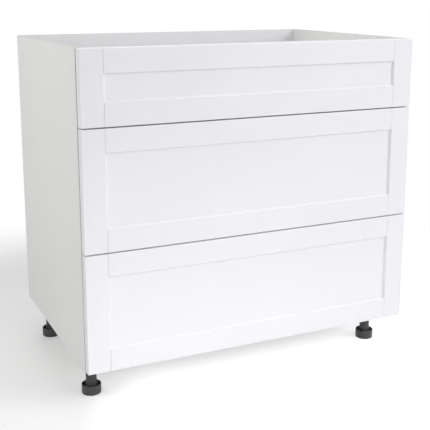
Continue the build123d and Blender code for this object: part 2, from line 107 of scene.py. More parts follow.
class Wiring:
    """Places nodes in one tree and links them."""

    def __init__(self, tree: bpy.types.NodeTree) -> None:
        """Work in the given shader or geometry tree."""
        self.tree = tree

    def feed(self, socket: Socket, value: Any) -> None:
        """Link an input, or set its value.

        Args:
            socket: the input to feed.
            value: an output to link, a list of outputs for an input that takes several, or a plain value.
        """
        if isinstance(value, bpy.types.NodeSocket):
            self.tree.links.new(value, socket)
        elif isinstance(value, list):
            for item in value:
                self.feed(socket, item)
        elif socket.type == "RGBA":
            socket.default_value = (*value, 1.0)
        else:
            socket.default_value = value

    def node(self, kind: str, inputs: dict[str | int, Any] | None = None, **settings: Any) -> bpy.types.Node:
        """Place one node.

        Args:
            kind: the node's type.
            inputs: what each named or numbered input takes.
            **settings: properties of the node itself.

        Returns:
            The node.
        """
        made = self.tree.nodes.new(kind)
        for key, value in settings.items():
            setattr(made, key, value)
        for key, value in (inputs or {}).items():
            self.feed(made.inputs[key], value)
        return made

    def out(self, kind: str, inputs: Any = None, pick: str | int = 0, **settings: Any) -> Socket:
        """Place one node and read the output that pick names."""
        return self.node(kind, inputs, **settings).outputs[pick]

    def math(self, operation: str, *values: Any) -> Socket:
        """Work out one number from others."""
        return self.out("ShaderNodeMath", dict(enumerate(values)), operation=operation)

    def fold(self, operation: str, values: Iterable[Any]) -> Socket:
        """Work out one number from many, two at a time."""
        return reduce(partial(self.math, operation), values)

    def vector(self, operation: str, *values: Any, pick: str = "Vector") -> Socket:
        """Work out one vector, or a number from vectors."""
        return self.out("ShaderNodeVectorMath", dict(enumerate(values)), pick, operation=operation)

    def join(self, *parts: Any) -> Socket:
        """Make a vector of its X, Y and Z."""
        return self.out("ShaderNodeCombineXYZ", dict(enumerate(parts)))

    def split(self, vector: Any) -> Outputs:
        """Take a vector apart, into X, Y and Z."""
        return self.node("ShaderNodeSeparateXYZ", {0: vector}).outputs

    def shift(self, geometry: Any, offset: Any) -> Socket:
        """Move a geometry by a vector."""
        return self.out("GeometryNodeTransform", {"Geometry": geometry, "Translation": offset})

    def remap(self, value: Any, low: float, high: float, to_low: Any = 0.0, to_high: Any = 1.0) -> Socket:
        """Spread a number's range smoothly over another range, clamped at its ends."""
        inputs = {0: value, 1: low, 2: high, 3: to_low, 4: to_high}
        return self.out("ShaderNodeMapRange", inputs, interpolation_type="SMOOTHSTEP")

    def noise(self, position: Any, scale: Any, detail: float = 2.0, roughness: float = 0.5) -> Socket:
        """Read a noise texture with so many features per metre. It stays about 0.5."""
        inputs = {"Vector": position, "Scale": scale, "Detail": detail, "Roughness": roughness}
        return self.out("ShaderNodeTexNoise", inputs)

    def blend(self, share: Any, first: Any, second: Any) -> Socket:
        """Mix two colours, by the share of the second."""
        return self.out("ShaderNodeMix", {0: share, 6: first, 7: second}, 2, data_type="RGBA")

    def tint(self, colour: Any, tone: Any) -> Socket:
        """Scale a colour by a number."""
        return self.out("ShaderNodeVectorMath", {0: colour, "Scale": tone}, operation="SCALE")

    def seen_by(self, *rays: str) -> Socket:
        """Give 1 for a ray of one of the named kinds, and 0 for any other."""
        path = self.node("ShaderNodeLightPath").outputs
        return self.fold("MAXIMUM", (path[f"Is {ray} Ray"] for ray in rays))


class Group(Wiring):
    """A node group with named inputs and outputs, built at its first use."""

    name: ClassVar[str] = ""
    kind: ClassVar[str] = ""
    takes: ClassVar[tuple[tuple[Any, ...], ...]] = ()
    gives: ClassVar[tuple[tuple[str, str], ...]] = ()

    @classmethod
    def group(cls) -> bpy.types.NodeTree:
        """Build the group, or find it.

        Returns:
            The group.
        """
        made = bpy.data.node_groups.get(cls.name)
        if made is None:
            made = bpy.data.node_groups.new(cls.name, cls.kind)
            for way, sockets in (("INPUT", cls.takes), ("OUTPUT", cls.gives)):
                for name, kind, *value in sockets:
                    socket = made.interface.new_socket(name, in_out=way, socket_type=f"NodeSocket{kind}")
                    if value:
                        socket.default_value = value[0]
            wiring = cls(made)
            wiring.node("NodeGroupOutput", wiring.wire())
        return made

    @cached_property
    def given(self) -> list[Socket]:
        """The group's inputs, in the order of takes."""
        return self.node("NodeGroupInput").outputs[: len(self.takes)]

    def wire(self) -> dict[str, Any]:
        """Fill the group.

        Returns:
            What each of the group's outputs takes.
        """
        raise NotImplementedError


# Effects


class Effect(Group):
    """An effect that several finishes share, read at a position on the surface."""

    kind = "ShaderNodeTree"


class ToneDrift(Effect):
    """Broad, faint changes of tone over a surface."""

    name = "tone drift"
    takes = (("Position", "Vector"), ("Size", "Float", 0.2), ("Depth", "Float", 0.02))
    gives = (("Tone", "Float"),)

    def wire(self) -> dict[str, Any]:
        """Fill the group.

        Returns:
            A tone of 1 at most and 1 less the depth at least.
        """
        position, size, depth = self.given
        clouds = self.noise(position, self.math("DIVIDE", 1.0, size))
        low = self.math("SUBTRACT", 1.0, depth)
        return {"Tone": self.remap(clouds, 0.3, 0.7, low, 1.0)}


class SurfaceGrain(Effect):
    """The fine relief of a foil, a melamine face or a powder coat."""

    name = "surface grain"
    takes = (("Position", "Vector"), ("Size", "Float", 0.001), ("Stretch", "Vector", EVEN))
    gives = (("Height", "Float"), ("Mask", "Float"))
    finer = 3.1
    coarse_share = 0.7
    fine_share = 0.3

    def wire(self) -> dict[str, Any]:
        """Fill the group.

        Returns:
            The relief from a coarse and a fine noise, and a mask of its hollows.
        """
        position, size, stretch = self.given
        place = self.vector("MULTIPLY", position, stretch)
        scale = self.math("DIVIDE", 1.0, size)
        coarse = self.math("MULTIPLY", self.noise(place, scale), self.coarse_share)
        fine = self.noise(place, self.math("MULTIPLY", scale, self.finer), 1.0)
        height = self.math("ADD", coarse, self.math("MULTIPLY", fine, self.fine_share))
        return {"Height": height, "Mask": self.remap(height, 0.35, 0.5, 1.0, 0.0)}


class BoardBand(Effect):
    """Tells a board's banded edges from its faces, and finds the glue line beside them."""

    name = "board band"
    takes = (
        ("Position", "Vector"),
        ("Normal", "Vector"),
        ("Centre", "Vector", (0.0, 0.0, 0.0)),
        ("Half", "Vector", EVEN),
        ("Thin", "Vector", Thin.X.value),
        ("Inset", "Float", 0.0007),
    )
    gives = (("Band", "Float"), ("Seam", "Float"))
    half_line = 0.0002

    def wire(self) -> dict[str, Any]:
        """Fill the group.

        Returns:
            The edges' mask and the mask of the line where the band meets the face.
        """
        position, normal, centre, half, thin, inset = self.given
        along = self.vector("DOT_PRODUCT", normal, thin, pick="Value")
        band = self.remap(self.math("ABSOLUTE", along), 0.45, 0.55, 1.0, 0.0)
        offset = self.vector("ABSOLUTE", self.vector("SUBTRACT", position, centre))
        room = self.split(self.vector("ADD", self.vector("SUBTRACT", half, offset), thin))
        line = self.math("COMPARE", self.fold("MINIMUM", room), inset, self.half_line)
        return {"Band": band, "Seam": self.math("MULTIPLY", line, self.math("SUBTRACT", 1.0, band))}


class SettledDust(Effect):
    """A thin, uneven film of dust on what faces up."""

    name = "settled dust"
    takes = (("Position", "Vector"), ("Normal", "Vector"), ("Amount", "Float", 0.1))
    gives = (("Dust", "Float"),)
    clouds_per_metre = 9.0
    specks_per_metre = 700.0

    def wire(self) -> dict[str, Any]:
        """Fill the group.

        Returns:
            The dust's mask from the normal's height and two sizes of cloud.
        """
        position, normal, amount = self.given
        up = self.vector("DOT_PRODUCT", normal, UP, pick="Value")
        clouds = self.remap(self.noise(position, self.clouds_per_metre, 4.0, 0.6), 0.35, 0.7, 0.3)
        specks = self.remap(self.noise(position, self.specks_per_metre, 1.0), 0.45, 0.75, 0.5)
        level = self.remap(up, 0.5, 0.95, 0.0, amount)
        return {"Dust": self.fold("MULTIPLY", (clouds, specks, level))}


class ZincBloom(Effect):
    """The crystals and drawing marks of zinc-plated sheet and wire."""

    name = "zinc bloom"
    takes = (("Position", "Vector"), ("Size", "Float", 0.004), ("Stretch", "Vector", EVEN))
    gives = (("Tone", "Float"), ("Height", "Float"), ("Dull", "Float"))
    marks_per_crystal = 8.0
    patches_per_metre = 25.0
    darkest = 0.9

    def wire(self) -> dict[str, Any]:
        """Fill the group.

        Returns:
            A tone by crystal, the marks' relief and a mask of duller patches.
        """
        position, size, stretch = self.given
        scale = self.math("DIVIDE", 1.0, size)
        cells = self.out("ShaderNodeTexVoronoi", {"Vector": position, "Scale": scale}, "Color")
        shade = self.out("ShaderNodeSeparateColor", {0: cells})
        drawn = self.vector("MULTIPLY", position, stretch)
        marks = self.noise(drawn, self.math("MULTIPLY", scale, self.marks_per_crystal))
        patches = self.noise(position, self.patches_per_metre, 3.0)
        tone = self.remap(shade, 0.0, 1.0, self.darkest)
        return {"Tone": tone, "Height": marks, "Dull": self.remap(patches, 0.4, 0.65)}


class MouldedSkin(Effect):
    """The spark-eroded skin of a moulded plastic part, and the rubs on it."""

    name = "moulded skin"
    takes = (("Position", "Vector"), ("Size", "Float", 0.0007))
    gives = (("Height", "Float"), ("Rub", "Float"))
    rubs_per_metre = 140.0

    def wire(self) -> dict[str, Any]:
        """Fill the group.

        Returns:
            The skin's relief and a mask of rubbed places.
        """
        position, size = self.given
        inputs = {"Vector": position, "Scale": self.math("DIVIDE", 1.0, size)}
        pits = self.out("ShaderNodeTexVoronoi", inputs, "Distance", feature="SMOOTH_F1")
        rubs = self.noise(position, self.rubs_per_metre, 5.0, 0.7)
        return {"Height": pits, "Rub": self.remap(rubs, 0.56, 0.7)}


# Finishes


class Surface(Wiring):
    """The wiring of one material, round its Principled BSDF."""

    def __init__(self, material: bpy.types.Material) -> None:
        """Turn on a material's nodes, to work in them.

        Args:
            material: the material.
        """
        material.use_nodes = True
        super().__init__(material.node_tree)
        self.shader = self.tree.nodes["Principled BSDF"]

    @cached_property
    def position(self) -> Socket:
        """Object coordinates, which are the CAD frame's metres."""
        return self.out("ShaderNodeTexCoord", pick="Object")

    @cached_property
    def normal(self) -> Socket:
        """The surface normal."""
        return self.out("ShaderNodeNewGeometry", pick="Normal")

    def set(self, **values: Any) -> None:
        """Feed the shader's inputs, each named in small letters with underscores."""
        for name, value in values.items():
            self.feed(self.shader.inputs[name.replace("_", " ").title()], value)

    def effect(self, kind: type[Effect], **values: Any) -> Outputs:
        """Place an effect, read at the surface's own position and normal.

        Args:
            kind: the effect.
            **values: what each other input takes, named in small letters.

        Returns:
            The effect's outputs.
        """
        inputs = {name.title(): value for name, value in values.items()}
        placed = self.node("ShaderNodeGroup", inputs, node_tree=kind.group())
        self.feed(placed.inputs["Position"], self.position)
        if "Normal" in placed.inputs:
            self.feed(placed.inputs["Normal"], self.normal)
        return placed.outputs

    def relief(self, height: Any, depth: float) -> None:
        """Bump the surface by a height from 0 to 1, which is so many metres deep."""
        self.set(normal=self.out("ShaderNodeBump", {"Strength": 1.0, "Distance": depth, "Height": height}))


@dataclass(frozen=True)
class Finish:
    """A material, by its colour, how it shines, and the sizes of its effects.

    Attributes:
        name: the material's name.
        colour: its base colour.
        roughness: its roughness, at the least.
        rise: how much rougher its hollows, rubs or dull patches are.
        coat: weight and roughness of the clear coat.
        metallic: 1 for bare metal.
        drift: size and depth of the broad changes of tone.
        grain: size and depth of the fine relief.
        stretch: scale of the relief along each axis, under 1 along its streaks.
        dust: the most dust that lies on what faces up.
        dust_colour: the dust's colour.
    """

    name: str
    colour: Colour
    roughness: float = 0.5
    rise: float = 0.1
    coat: Pair = (0.0, 0.03)
    metallic: float = 0.0
    drift: Pair = (0.2, 0.02)
    grain: Pair = (0.001, 0.00002)
    stretch: Triple = EVEN
    dust: float = 0.1
    dust_colour: Colour = (0.62, 0.6, 0.57)

    def material(self) -> bpy.types.Material:
        """Build the material, or find it.

        Returns:
            The material.
        """
        made = bpy.data.materials.get(self.name)
        if made is None:
            made = bpy.data.materials.new(self.name)
            made.diffuse_color = (*self.colour, 1.0)
            surface = Surface(made)
            weight, coat_roughness = self.coat
            surface.set(base_color=self.colour, roughness=self.roughness, metallic=self.metallic)
            surface.set(coat_weight=weight, coat_roughness=coat_roughness)
            self.wire(surface)
        return made

    def wire(self, surface: Surface) -> None:
        """Add the finish's own nodes to its material."""
        raise NotImplementedError

    def drifting(self, surface: Surface) -> Socket:
        """Place the colour, with its broad changes of tone."""
        size, depth = self.drift
        return surface.tint(self.colour, surface.effect(ToneDrift, size=size, depth=depth)["Tone"])

    def grained(self, surface: Surface) -> Socket:
        """Bump the surface with its grain.

        Args:
            surface: the material's wiring.

        Returns:
            The mask of the grain's hollows.
        """
        size, depth = self.grain
        grain = surface.effect(SurfaceGrain, size=size, stretch=self.stretch)
        surface.relief(grain["Height"], depth)
        return grain["Mask"]

    def dusting(self, surface: Surface) -> Socket:
        """Place the mask of the dust."""
        return surface.effect(SettledDust, amount=self.dust)["Dust"]

    def sheen(self, surface: Surface, mask: Socket) -> Socket:
        """Place a roughness that rises with a mask."""
        return surface.remap(mask, 0.0, 1.0, self.roughness, self.roughness + self.rise)


@dataclass(frozen=True)
class FoilFinish(Finish):
    """Satin foil over the routed fronts, darker in the joint at the ends of a rail: painted shade in the
    joint's groove, partly the joint's own darker tone.
    """

    rise: float = 0.08
    coat: Pair = (0.12, 0.3)
    drift: Pair = (0.22, 0.012)
    grain: Pair = (0.0016, 0.000012)
    joint: float | None = None
    joint_width: float = 0.0012
    # Painted shade: how dark the joint's groove is painted, partly the joint's own darker tone.
    joint_shade_tone: float = 0.62

    def wire(self, surface: Surface) -> None:
        """Drift the tone, paint shade into the joints' grooves, and let the foil's fine grain show in the
        sheen.

        Args:
            surface: the material's wiring.
        """
        colour = self.drifting(surface)
        if self.joint is not None:
            # Painted shade in the groove where each rail meets a stile, with some real darkening of the joint.
            across = surface.math("ABSOLUTE", surface.split(surface.position)[0])
            groove_shade = surface.math("GREATER_THAN", across, self.joint - self.joint_width)
            colour = surface.tint(colour, surface.remap(groove_shade, 0.0, 1.0, 1.0, self.joint_shade_tone))
        surface.set(base_color=colour, roughness=self.sheen(surface, self.grained(surface)))


@dataclass(frozen=True)
class BoardFinish(Finish):
    """Melamine-faced board with banded edges, whose darker colour is partly painted shade."""

    drift: Pair = (0.3, 0.015)
    grain: Pair = (0.0011, 0.00002)
    dust: float = 0.12
    dust_rise: float = 0.3
    # Painted shade, partly the edging's own tone: the banded edges are darker than the face, which dims the
    # lit top and front edges.
    band_and_shade_colour: Colour = (0.6, 0.596, 0.587)
    seam_tone: float = 0.8
    centre: Triple = (0.0, 0.0, 0.0)
    half: Triple = EVEN
    thin: Thin = Thin.X

    def fitted(self, node: str, thin: Thin) -> BoardFinish:
        """Fit the finish to one board.

        Args:
            node: the board's CAD node.
            thin: the axis across its thickness.

        Returns:
            The finish, with the board's own place and size.
        """
        low, high = (Vector(corner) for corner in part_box(node))
        centre = tuple((low + high) / 2)
        half = tuple((high - low) / 2)
        return replace(self, name=f"{self.name} {node}", centre=centre, half=half, thin=thin)

    def edges(self, surface: Surface) -> Outputs:
        """Place the masks of the banded edges and of the glue line."""
        return surface.effect(BoardBand, centre=self.centre, half=self.half, thin=self.thin.value)

    def wire(self, surface: Surface) -> None:
        """Band the edges in a darker colour that is partly painted shade, draw the glue line, and add grain
        and dust.

        Args:
            surface: the material's wiring.
        """
        edge = self.edges(surface)
        # Painted shade: the banded edges take the darker band colour.
        banded = surface.blend(edge["Band"], self.drifting(surface), self.band_and_shade_colour)
        seamed = surface.tint(banded, surface.remap(edge["Seam"], 0.0, 1.0, 1.0, self.seam_tone))
        dust = self.dusting(surface)
        rough = self.sheen(surface, self.grained(surface))
        dulled = surface.math("ADD", rough, surface.math("MULTIPLY", dust, self.dust_rise))
        surface.set(base_color=surface.blend(dust, seamed, self.dust_colour), roughness=dulled)


@dataclass(frozen=True)
class FibreFinish(BoardFinish):
    """White-faced hardboard, with its brown fibre bare at the cut edges."""

    drift: Pair = (0.12, 0.025)
    grain: Pair = (0.0025, 0.00004)
    stretch: Triple = (1.0, 1.0, 0.4)
    fibre_colour: Colour = (0.3, 0.19, 0.11)
    pale_fibre: Colour = (0.42, 0.29, 0.18)

    def wire(self, surface: Surface) -> None:
        """Print the faces white over a faint fibre relief, and leave the edges raw.

        Args:
            surface: the material's wiring.
        """
        raw = surface.blend(self.grained(surface), self.fibre_colour, self.pale_fibre)
        surface.set(base_color=surface.blend(self.edges(surface)["Band"], self.drifting(surface), raw))


@dataclass(frozen=True)
class PowderFinish(Finish):
    """Powder coat on folded steel."""

    rise: float = 0.12
    coat: Pair = (0.2, 0.25)
    drift: Pair = (0.15, 0.02)
    grain: Pair = (0.0009, 0.000035)
    dust_colour: Colour = (0.6, 0.58, 0.55)

    def wire(self, surface: Surface) -> None:
        """Give the coat its orange-peel relief, under dust and a thin gloss.

        Args:
            surface: the material's wiring.
        """
        dusty = surface.blend(self.dusting(surface), self.drifting(surface), self.dust_colour)
        surface.set(base_color=dusty, roughness=self.sheen(surface, self.grained(surface)))


@dataclass(frozen=True)
class ZincFinish(Finish):
    """Zinc plating, drawn along one axis or cast."""

    rise: float = 0.14
    metallic: float = 1.0
    grain: Pair = (0.004, 0.00001)
    stretch: Triple = (1.0, 0.03, 1.0)

    def wire(self, surface: Surface) -> None:
        """Vary tone by crystal, roughness by patch, and add the drawing marks.

        Args:
            surface: the material's wiring.
        """
        size, depth = self.grain
        bloom = surface.effect(ZincBloom, size=size, stretch=self.stretch)
        surface.set(base_color=surface.tint(self.colour, bloom["Tone"]))
        surface.set(roughness=self.sheen(surface, bloom["Dull"]))
        surface.relief(bloom["Height"], depth)


@dataclass(frozen=True)
class MouldedFinish(Finish):
    """Moulded plastic or soft polymer, with its skin, rubs and dust."""

    rise: float = 0.15
    grain: Pair = (0.0007, 0.00003)
    dust_colour: Colour = (0.45, 0.43, 0.4)
    rub_colour: Colour = (0.12, 0.12, 0.12)
    rub: float = 0.3

    def wire(self, surface: Surface) -> None:
        """Show the skin in the sheen, pale rubs and dust on top.

        Args:
            surface: the material's wiring.
        """
        size, depth = self.grain
        skin = surface.effect(MouldedSkin, size=size)
        worn = surface.blend(surface.math("MULTIPLY", skin["Rub"], self.rub), self.colour, self.rub_colour)
        surface.set(base_color=surface.blend(self.dusting(surface), worn, self.dust_colour))
        surface.set(roughness=self.sheen(surface, skin["Rub"]))
        surface.relief(skin["Height"], depth)


@dataclass(frozen=True)
class BeechFinish(Finish):
    """Bare beech, with its flecks along the dowel."""

    grain: Pair = (0.0015, 0.00008)
    stretch: Triple = (0.08, 1.0, 1.0)
    dark: Colour = (0.5, 0.34, 0.2)

    def wire(self, surface: Surface) -> None:
        """Streak the wood along its length."""
        surface.set(base_color=surface.blend(self.grained(surface), self.colour, self.dark))


# How far from the middle the fronts' rails meet the stiles.
RAIL_END = 0.3935

FRONT_FOIL = FoilFinish("front foil", (0.878, 0.868, 0.897), 0.42)
# The rails' foil has painted shade in the joints at their ends.
RAIL_FOIL = replace(FRONT_FOIL, name="rail foil", joint=RAIL_END)
CARCASS_BOARD = BoardFinish("carcass melamine", (0.86, 0.858, 0.85), 0.48)
DRAWER_BOARD = BoardFinish("drawer melamine", (0.8, 0.8, 0.8), band_and_shade_colour=(0.78, 0.78, 0.78), dust=0.06)
BACK_BOARD = FibreFinish("back hardboard", (0.845, 0.84, 0.86), 0.55)
DRAWER_COAT = PowderFinish("drawer coat", (0.77, 0.78, 0.79), 0.42)
BRACKET_COAT = PowderFinish("bracket coat", (0.69, 0.7, 0.71), 0.45)
RUNNER_ZINC = ZincFinish("runner zinc", (0.66, 0.67, 0.68), 0.3)
SCREW_ZINC = ZincFinish("screw zinc", (0.7, 0.7, 0.71), 0.28, grain=(0.0015, 0.00001), stretch=EVEN)
CAST_ZINC = ZincFinish("cast zinc", (0.58, 0.58, 0.59), 0.45, grain=(0.002, 0.00001), stretch=EVEN)
BEECH = BeechFinish("beech", (0.72, 0.55, 0.36), 0.7)
LEG_PLASTIC = MouldedFinish("leg plastic", (0.04, 0.04, 0.043), 0.36)
BUMPER_GEL = MouldedFinish(
    "bumper gel", (0.72, 0.73, 0.73), 0.25, grain=(0.0007, 0.00001), rub_colour=(0.8, 0.8, 0.8), rub=0.05
)


# Meshes


def turned_mesh(name: str, profile: Profile, segments: int) -> bpy.types.Mesh:
    """Turn a profile about the Z axis.

    Args:
        name: the mesh's name.
        profile: (radius, height) points, from one end on the axis to the other.
        segments: faces round the axis.

    Returns:
        A closed mesh with its faces outwards.
    """
    body = bmesh.new()
    rings = []
    for radius, height in profile:
        if radius == 0.0:
            rings.append([body.verts.new((0.0, 0.0, height))])
            continue
        turns = (2 * math.pi * step / segments for step in range(segments))
        rings.append([body.verts.new((radius * math.cos(t), radius * math.sin(t), height)) for t in turns])
    for first, second in zip(rings, rings[1:]):
        for step in range(segments):
            after = (step + 1) % segments
            corners = [first[step % len(first)], first[after % len(first)]]
            corners += [second[after % len(second)], second[step % len(second)]]
            body.faces.new(dict.fromkeys(corners))
    bmesh.ops.recalc_face_normals(body, faces=body.faces)
    mesh = bpy.data.meshes.new(name)
    body.to_mesh(mesh)
    body.free()
    return mesh


def arc(centre: Pair, radius: float, start: float, end: float, steps: int = 3) -> list[Pair]:
    """Points along a circular arc of a profile.

    Args:
        centre: the arc's centre, as (radius, height).
        radius: the arc's own radius.
        start: angle of its first point, in degrees from the outward direction.
        end: angle of its last point.
        steps: number of chords.

    Returns:
        The points, ends included.
    """
    angles = [math.radians(start + (end - start) * step / steps) for step in range(steps + 1)]
    return [(centre[0] + radius * math.cos(a), centre[1] + radius * math.sin(a)) for a in angles]


@dataclass(frozen=True)
class Seat:
    """Where a repeated part sits: a point on the surface, and the way its head faces."""

    point: Sequence[float]
    facing: Triple


def seat_mesh(name: str, seats: Sequence[Seat]) -> bpy.types.Mesh:
    """Turn seats into points that a geometry tree can copy a part onto.

    Args:
        name: the mesh's name.
        seats: the seats.

    Returns:
        A mesh of loose points with a facing attribute.
    """
    mesh = bpy.data.meshes.new(name)
    mesh.from_pydata([seat.point for seat in seats], [], [])
    facing = mesh.attributes.new("facing", "FLOAT_VECTOR", "POINT")
    for item, seat in zip(facing.data, seats):
        item.vector = seat.facing
    return mesh


class GrowthTree(Group):
    """A Geometry Nodes tree whose result becomes a plain mesh, smooth but for its sharp edges."""

    kind = "GeometryNodeTree"
    takes = (("Geometry", "Geometry"), ("Sharp Angle", "Float", math.radians(35)), ("Material", "Material"))
    gives = (("Geometry", "Geometry"),)

    def wire(self) -> dict[str, Any]:
        """Realise what the tree shapes, keep its sharp edges, and set its material.

        Returns:
            What the tree puts out.
        """
        _, sharp_angle, material, *_ = self.given
        grown = self.out("GeometryNodeRealizeInstances", {0: self.shape()})
        smooth = self.out("GeometryNodeSetShadeSmooth", {0: grown, 2: True}, domain="FACE")
        angles = {0: self.out("GeometryNodeInputMeshEdgeAngle"), 1: sharp_angle}
        sharp = self.out("FunctionNodeCompare", angles, operation="GREATER_THAN")
        edged = self.out("GeometryNodeSetShadeSmooth", {0: smooth, 1: sharp, 2: False}, domain="EDGE")
        return {"Geometry": self.out("GeometryNodeSetMaterial", {0: edged, "Material": material})}

    def shape(self) -> Socket:
        """Shape the tree's own geometry.

        Returns:
            The geometry, which may hold instances.
        """
        raise NotImplementedError

    @classmethod
    def grow(cls, name: str, mesh: bpy.types.Mesh, finish: Finish, **values: Any) -> bpy.types.Object:
        """Run the tree on a mesh and keep the result as a plain mesh.

        Args:
            name: the new object's name.
            mesh: the tree's own geometry input, which is then removed.
            finish: the finish it sets.
            **values: what each other input takes, named in small letters with underscores.

        Returns:
            The object, with no modifier.
        """
        grown = bpy.data.objects.new(name, mesh)
        bpy.context.scene.collection.objects.link(grown)
        modifier = grown.modifiers.new(cls.name, "NODES")
        modifier.node_group = cls.group()
        settings = {key.replace("_", " ").title(): value for key, value in values.items()}
        settings["Material"] = finish.material()
        for item in cls.group().interface.items_tree:
            if item.in_out == "INPUT" and item.name in settings:
                modifier[item.identifier] = settings[item.name]
        depsgraph = bpy.context.evaluated_depsgraph_get()
        result = bpy.data.meshes.new_from_object(grown.evaluated_get(depsgraph), depsgraph=depsgraph)
        result.name = name
        grown.modifiers.clear()
        grown.data = result
        bpy.data.meshes.remove(mesh)
        return grown


class SeatedParts(GrowthTree):
    """Copies a part onto seats, each turned about its own axis by chance, with a driver recess cut in it."""

    name = "seated parts"
    takes = (
        *GrowthTree.takes,
        ("Part", "Object"),
        ("Recess Length", "Float", 0.0036),
        ("Recess Width", "Float", 0.0009),
        ("Recess Depth", "Float", 0.0012),
        ("Recess Height", "Float", 0.002),
        ("Seed", "Int", 7),
    )

    def shape(self) -> Socket:
        """Cut the cross in the part, then set a copy on each seat.

        Returns:
            The copies.
        """
        geometry, _, _, part, long, narrow, deep, height, seed = self.given
        tall = self.math("MULTIPLY", deep, 2.0)
        sizes = (self.join(long, narrow, tall), self.join(narrow, long, tall))
        arms = [self.out("GeometryNodeMeshCube", {"Size": size}) for size in sizes]
        cross = self.out("GeometryNodeMeshBoolean", {"Mesh 2": arms}, operation="UNION", solver="EXACT")
        cutter = self.shift(cross, self.join(0.0, 0.0, height))
        whole = self.out("GeometryNodeObjectInfo", {"Object": part}, "Geometry")
        pair = {"Mesh 1": whole, "Mesh 2": cutter}
        cut = self.out("GeometryNodeMeshBoolean", pair, operation="DIFFERENCE", solver="EXACT")
        facing = self.out("GeometryNodeInputNamedAttribute", {"Name": "facing"}, data_type="FLOAT_VECTOR")
        aimed = self.out("FunctionNodeAlignRotationToVector", {"Vector": facing}, axis="Z")
        chance = self.out("FunctionNodeRandomValue", {"Seed": seed, 3: math.pi}, 1, data_type="FLOAT")
        spin = self.out("FunctionNodeEulerToRotation", {0: self.join(0.0, 0.0, chance)})
        turns = {"Rotation": aimed, "Rotate By": spin}
        turned = self.out("FunctionNodeRotateRotation", turns, rotation_space="LOCAL")
        copies = {"Points": geometry, "Instance": cut, "Rotation": turned}
        return self.out("GeometryNodeInstanceOnPoints", copies)


class ThreadedPart(GrowthTree):
    """Stands a turned part on its axis and winds a screw thread round its spindle."""

    name = "threaded part"
    takes = (
        *GrowthTree.takes,
        ("Axis", "Vector", (0.0, 0.0, 0.0)),
        ("Thread Start", "Float", 0.028),
        ("Thread Length", "Float", 0.033),
        ("Thread Radius", "Float", 0.0062),
        ("Thread Pitch", "Float", 0.003),
        ("Thread Depth", "Float", 0.0007),
    )
    steps_a_turn = 24
    ridge_sides = 4

    def shape(self) -> Socket:
        """Sweep a ridge along a helix, join it to the part and move both to the axis.

        Returns:
            The part with its thread.
        """
        geometry, _, _, axis, start, length, radius, pitch, depth = self.given
        sizes = {
            "Resolution": self.steps_a_turn,
            "Rotations": self.math("DIVIDE", length, pitch),
            "Start Radius": radius,
            "End Radius": radius,
            "Height": length,
        }
        helix = self.out("GeometryNodeCurveSpiral", sizes)
        section = {"Resolution": self.ridge_sides, "Radius": depth}
        ridge = self.out("GeometryNodeCurvePrimitiveCircle", section)
        swept = {"Curve": helix, "Profile Curve": ridge, "Fill Caps": True}
        thread = self.out("GeometryNodeCurveToMesh", swept)
        raised = self.shift(thread, self.join(0.0, 0.0, start))
        joined = self.out("GeometryNodeJoinGeometry", {0: [geometry, raised]})
        return self.shift(joined, axis)


class GussetRings(GrowthTree):
    """Sets a ring of triangular gussets round each point, between a sleeve and the flange over it."""

    name = "gusset rings"
    takes = (
        *GrowthTree.takes,
        ("Count", "Int", 4),
        ("Inner Radius", "Float", 0.0165),
        ("Outer Radius", "Float", 0.029),
        ("Drop", "Float", 0.016),
        ("Taper", "Float", 0.86),
        ("Thickness", "Float", 0.002),
    )

    def shape(self) -> Socket:
        """Taper a block to a gusset, copy it round a circle, and copy the circle onto the points.

        Returns:
            The rings.
        """
        geometry, _, _, count, inner, outer, drop, taper, thickness = self.given
        size = self.join(self.math("SUBTRACT", outer, inner), thickness, drop)
        block = self.out("GeometryNodeMeshCube", {"Size": size})
        position = self.out("GeometryNodeInputPosition")
        place = self.split(position)
        far_out = self.math("GREATER_THAN", place[0], 0.0)
        corner = self.math("MULTIPLY", far_out, self.math("LESS_THAN", place[2], 0.0))
        lift = self.math("MULTIPLY", corner, self.math("MULTIPLY", drop, taper))
        raised = {"Geometry": block, "Offset": self.join(0.0, 0.0, lift)}
        wedge = self.out("GeometryNodeSetPosition", raised)
        middle = self.math("MULTIPLY", self.math("ADD", outer, inner), 0.5)
        ring = self.out("GeometryNodeMeshCircle", {"Vertices": count, "Radius": middle})
        outwards = {"Vector": position}
        turned = self.out("FunctionNodeAlignRotationToVector", outwards, axis="X", pivot_axis="Z")
        round_it = {"Points": ring, "Instance": wedge, "Rotation": turned}
        gussets = self.out("GeometryNodeInstanceOnPoints", round_it)
        hung = self.shift(gussets, self.join(0.0, 0.0, self.math("MULTIPLY", drop, -0.5)))
        return self.out("GeometryNodeInstanceOnPoints", {"Points": geometry, "Instance": hung})


# Turned parts

OUT_OF_REACH = -1.0


@dataclass(frozen=True)
class SmallPart:
    """A small turned part that is repeated on seats."""

    finish: Finish
    segments: int

    def profile(self) -> Profile:
        """Outline from one end on the axis to the other, as (radius, height)."""
        raise NotImplementedError

    def recess(self) -> float:
        """Height of the driver recess, here so far below the part that none is cut."""
        return OUT_OF_REACH

    def set_on(self, name: str, seats: Sequence[Seat], seed: int) -> bpy.types.Object:
        """Make one object of copies.

        Args:
            name: its name.
            seats: where the copies sit.
            seed: seeds the way each copy is turned.

        Returns:
            The object.
        """
        blank = bpy.data.objects.new("blank", turned_mesh("blank", self.profile(), self.segments))
        settings = {"part": blank, "recess_height": self.recess(), "seed": seed}
        made = SeatedParts.grow(name, seat_mesh(name, seats), self.finish, **settings)
        bpy.data.objects.remove(blank)
        return made


